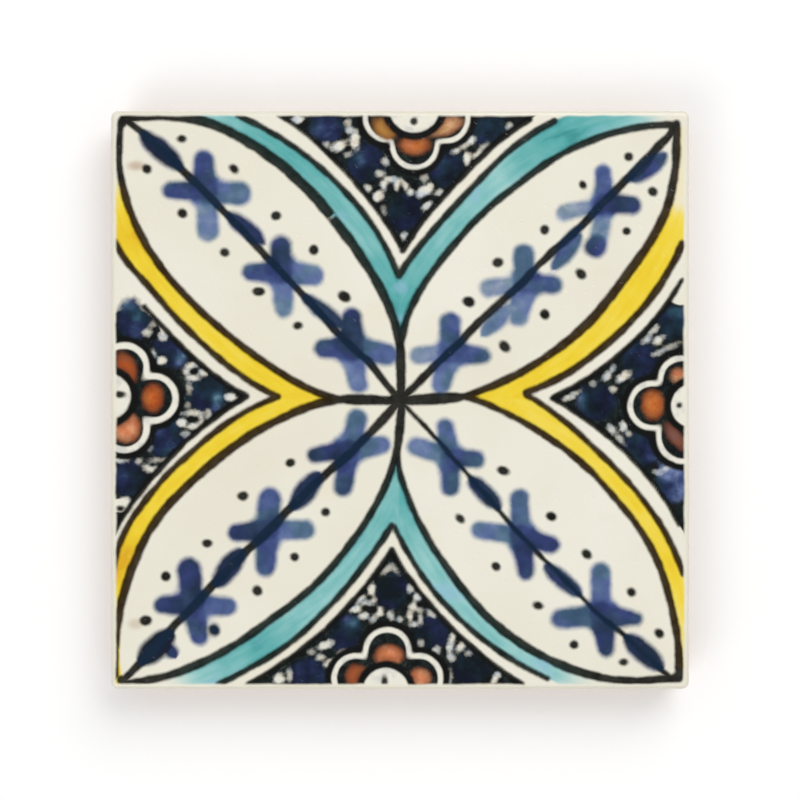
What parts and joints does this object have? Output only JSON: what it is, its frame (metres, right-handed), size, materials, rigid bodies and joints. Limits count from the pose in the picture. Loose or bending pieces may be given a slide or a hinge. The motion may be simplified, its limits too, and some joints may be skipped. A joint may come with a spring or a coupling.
{
  "type": "pool tile",
  "caption": "Square fired-clay pool and wall tile with a rounded glazed face, hand-painted with petals, flowers and half rosettes, drafted sides and a keyed back for bedding.",
  "frame": {"origin": "centre of the back face, on which the tile lies", "axes": "+Z out through the glazed face, X and Y along the sides, with the pattern upright as seen along -Z with +Y up"},
  "size_m": [0.1, 0.1, 0.01],
  "materials": {
    "painted_glaze": "glossy"
  },
  "bodies": {
    "root": {"glazed_tile": "painted_glaze"}
  },
  "joints": []
}
